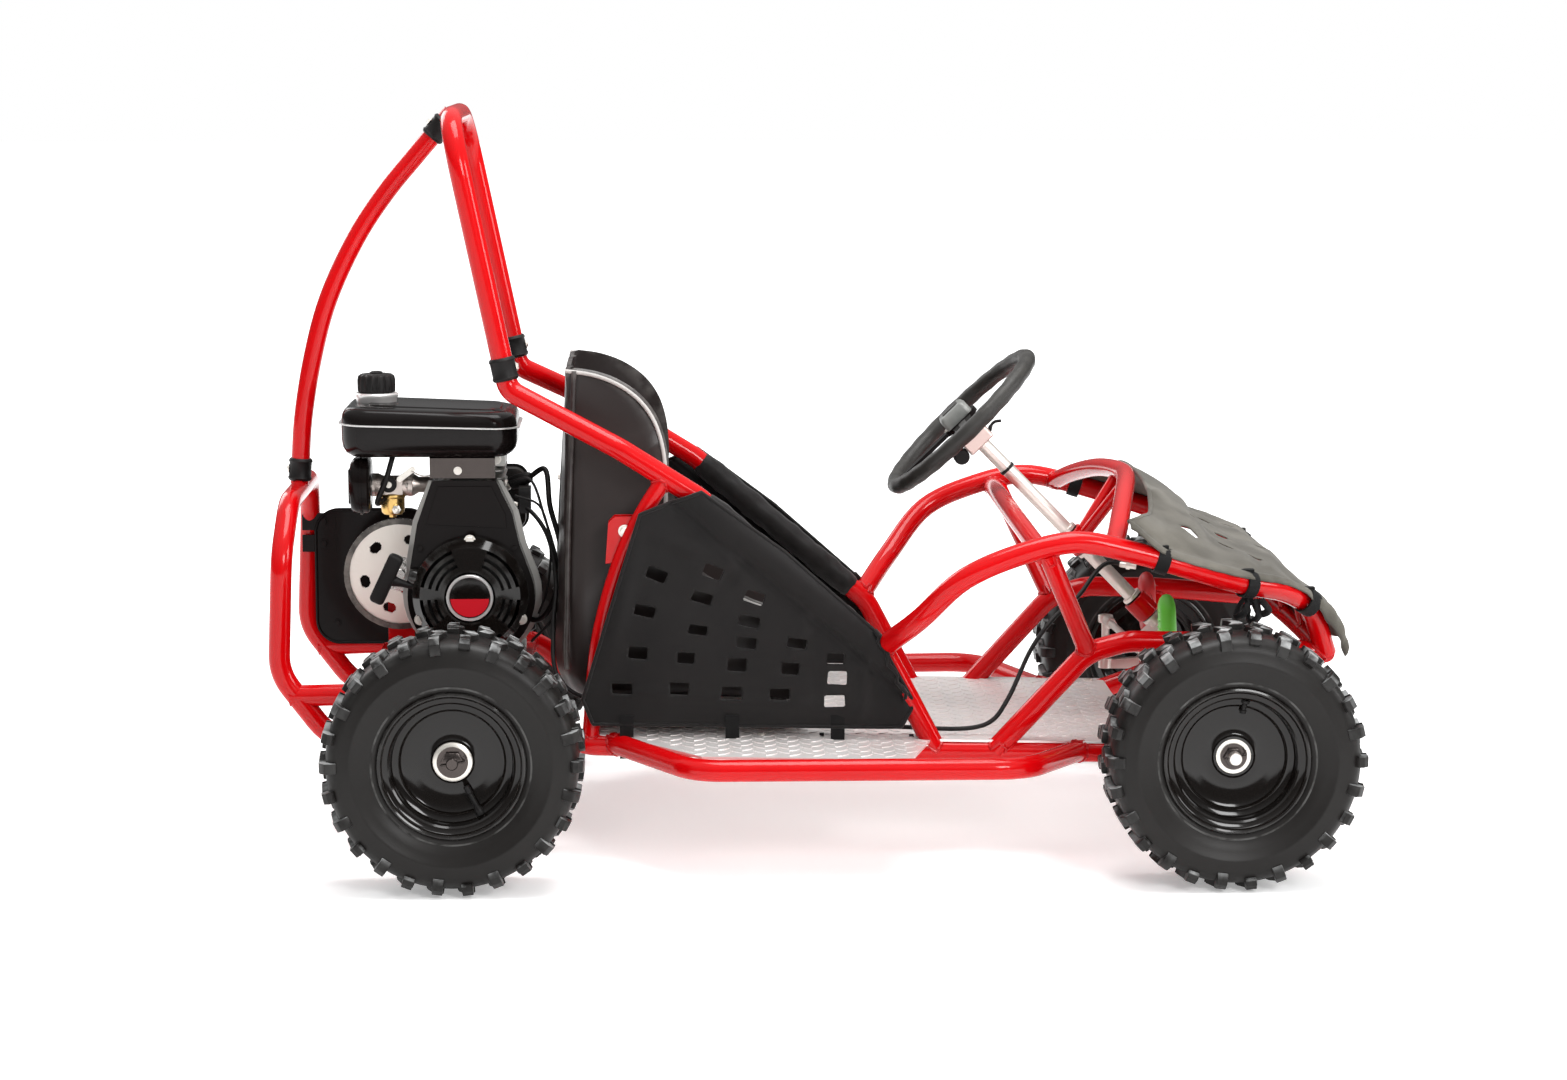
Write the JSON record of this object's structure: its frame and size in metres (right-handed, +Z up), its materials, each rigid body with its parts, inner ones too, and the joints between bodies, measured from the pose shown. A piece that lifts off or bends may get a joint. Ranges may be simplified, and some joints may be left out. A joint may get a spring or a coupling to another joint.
{
  "type": "off-road go kart",
  "caption": "Child's off-road go kart: red tube frame with roll hoop, bucket seat, cloth panels, rear engine with chain drive, steered front wheels",
  "frame": {"origin": "on the ground, under the middle of the whole kart's bounding box", "axes": "+X forward, the way it drives; +Y to the driver's left; +Z up"},
  "size_m": [1.383, 0.927, 0.9617],
  "materials": {
    "red_paint": "gloss red powder coat",
    "black_plastic": "moulded black plastic",
    "black_paint": "gloss black paint",
    "tyre": "knobbly black rubber",
    "zinc": "bright zinc plating",
    "cast_aluminium": "grey cast aluminium",
    "sheet_aluminium": "plain sheet with a raised tread pattern on the floor",
    "brass": "yellow plated",
    "black_cloth": "black woven cloth",
    "grey_cloth": "grey-black coated cloth",
    "green_rubber": "ribbed green pad",
    "red_rubber": "ribbed red pad"
  },
  "bodies": {
    "chassis": {"floor_rail_right": "red_paint", "side_bar_right": "red_paint", "seat_rail_right": "red_paint", "arch_tube_right": "red_paint", "lower_tube_right": "red_paint", "axle_hanger_right": "red_paint", "floor_rail_left": "red_paint", "side_bar_left": "red_paint", "seat_rail_left": "red_paint", "arch_tube_left": "red_paint", "lower_tube_left": "red_paint", "axle_hanger_left": "red_paint", "rear_hoop": "red_paint", "roll_hoop": "red_paint", "roll_brace": "red_paint", "steering_crossbar": "red_paint", "hood_hoop": "red_paint", "front_bumper": "red_paint", "front_beam": "red_paint", "engine_cradle": "red_paint", "seat_frame": "red_paint", "floor_pan": "sheet_aluminium", "seat_shell": "black_plastic", "side_panel_right": "black_cloth", "side_panel_left": "black_cloth", "hood_cover": "grey_cloth", "engine_block": "cast_aluminium", "engine_shroud": "black_plastic", "recoil_cover": "black_plastic", "fuel_tank": "black_paint", "carburettor": "brass", "air_filter": "black_plastic", "muffler": "black_paint", "primary_chain": "zinc", "axle_chain": "zinc", "chain_guard": "black_paint", "brake_caliper": "black_paint", "throttle_cable": "black_plastic"},
    "rear_axle": {"rear_axle": "zinc", "axle_sprocket": "zinc", "rear_rim_right": "black_paint", "rear_rim_left": "black_paint", "rear_tyre_right": "tyre", "rear_tyre_left": "tyre"},
    "jackshaft": {"jackshaft": "zinc"},
    "clutch": {"clutch": "zinc"},
    "steering_column": {"steering_shaft": "zinc", "steering_wheel": "black_plastic"},
    "knuckle_right": {"knuckle_right": "zinc"},
    "knuckle_left": {"knuckle_left": "zinc"},
    "front_wheel_right": {"front_rim_right": "black_paint", "front_tyre_right": "tyre"},
    "front_wheel_left": {"front_rim_left": "black_paint", "front_tyre_left": "tyre"},
    "tie_rod_right": {"tie_rod_right": "zinc"},
    "tie_rod_left": {"tie_rod_left": "zinc"},
    "throttle_pedal": {"throttle_pedal": "green_rubber"},
    "brake_pedal": {"brake_pedal": "red_rubber"},
    "fuel_cap": {"fuel_cap": "black_plastic"},
    "starter_handle": {"starter_handle": "black_plastic"}
  },
  "joints": [
    {"name": "rear_axle_spin", "type": "hinge", "parent": "chassis", "child": "rear_axle", "pos_m": [-0.4425, 0, 0.16359], "axis": [0, 1, 0], "continuous": true},
    {"name": "jackshaft_spin", "type": "hinge", "parent": "chassis", "child": "jackshaft", "pos_m": [-0.54251, 0, 0.31998], "axis": [0, 1, 0], "continuous": true},
    {"name": "clutch_spin", "type": "hinge", "parent": "chassis", "child": "clutch", "pos_m": [-0.43455, 0, 0.31798], "axis": [0, 1, 0], "continuous": true},
    {"name": "steering", "type": "hinge", "parent": "chassis", "child": "steering_column", "pos_m": [0.21749, 0, 0.54102], "axis": [0.6982, 0, -0.7159], "range_deg": [-40, 40]},
    {"name": "knuckle_right_steer", "type": "hinge", "parent": "chassis", "child": "knuckle_right", "pos_m": [0.5275, -0.29, 0.16359], "axis": [0, 0, 1], "range_deg": [-24, 24]},
    {"name": "front_wheel_right_spin", "type": "hinge", "parent": "knuckle_right", "child": "front_wheel_right", "pos_m": [0.5275, -0.4, 0.16359], "axis": [0, 1, 0], "continuous": true},
    {"name": "tie_rod_right_swing", "type": "hinge", "parent": "knuckle_right", "child": "tie_rod_right", "pos_m": [0.4535, -0.29, 0.222], "axis": [0, 0, 1], "range_deg": [-24, 24]},
    {"name": "knuckle_left_steer", "type": "hinge", "parent": "chassis", "child": "knuckle_left", "pos_m": [0.5275, 0.29, 0.16359], "axis": [0, 0, 1], "range_deg": [-24, 24]},
    {"name": "front_wheel_left_spin", "type": "hinge", "parent": "knuckle_left", "child": "front_wheel_left", "pos_m": [0.5275, 0.4, 0.16359], "axis": [0, 1, 0], "continuous": true},
    {"name": "tie_rod_left_swing", "type": "hinge", "parent": "knuckle_left", "child": "tie_rod_left", "pos_m": [0.4535, 0.29, 0.222], "axis": [0, 0, 1], "range_deg": [-24, 24]},
    {"name": "throttle_press", "type": "hinge", "parent": "chassis", "child": "throttle_pedal", "pos_m": [0.4825, -0.1, 0.16389], "axis": [0, 1, 0], "range_deg": [0, 25], "stiffness_Nm_per_rad": 1.5, "springref_deg": -20.05},
    {"name": "brake_press", "type": "hinge", "parent": "chassis", "child": "brake_pedal", "pos_m": [0.4825, 0.1, 0.16389], "axis": [0, 1, 0], "range_deg": [0, 20], "stiffness_Nm_per_rad": 3, "springref_deg": -20.05},
    {"name": "fuel_cap_lift", "type": "slide", "parent": "chassis", "child": "fuel_cap", "axis": [0, 0, 1], "range_m": [0, 0.08]},
    {"name": "starter_pull", "type": "slide", "parent": "chassis", "child": "starter_handle", "axis": [-0.9611, 0, 0.2764], "range_m": [0, 0.4], "stiffness_N_per_m": 20, "springref_m": -0.25}
  ],
  "couplings": [
    {"joint": "jackshaft_spin", "follows": "rear_axle_spin", "ratio": 2.8333},
    {"joint": "clutch_spin", "follows": "rear_axle_spin", "ratio": 11.333},
    {"joint": "knuckle_right_steer", "follows": "steering", "ratio": -0.6},
    {"joint": "knuckle_left_steer", "follows": "steering", "ratio": -0.6},
    {"joint": "tie_rod_right_swing", "follows": "steering", "ratio": 0.6},
    {"joint": "tie_rod_left_swing", "follows": "steering", "ratio": 0.6}
  ]
}
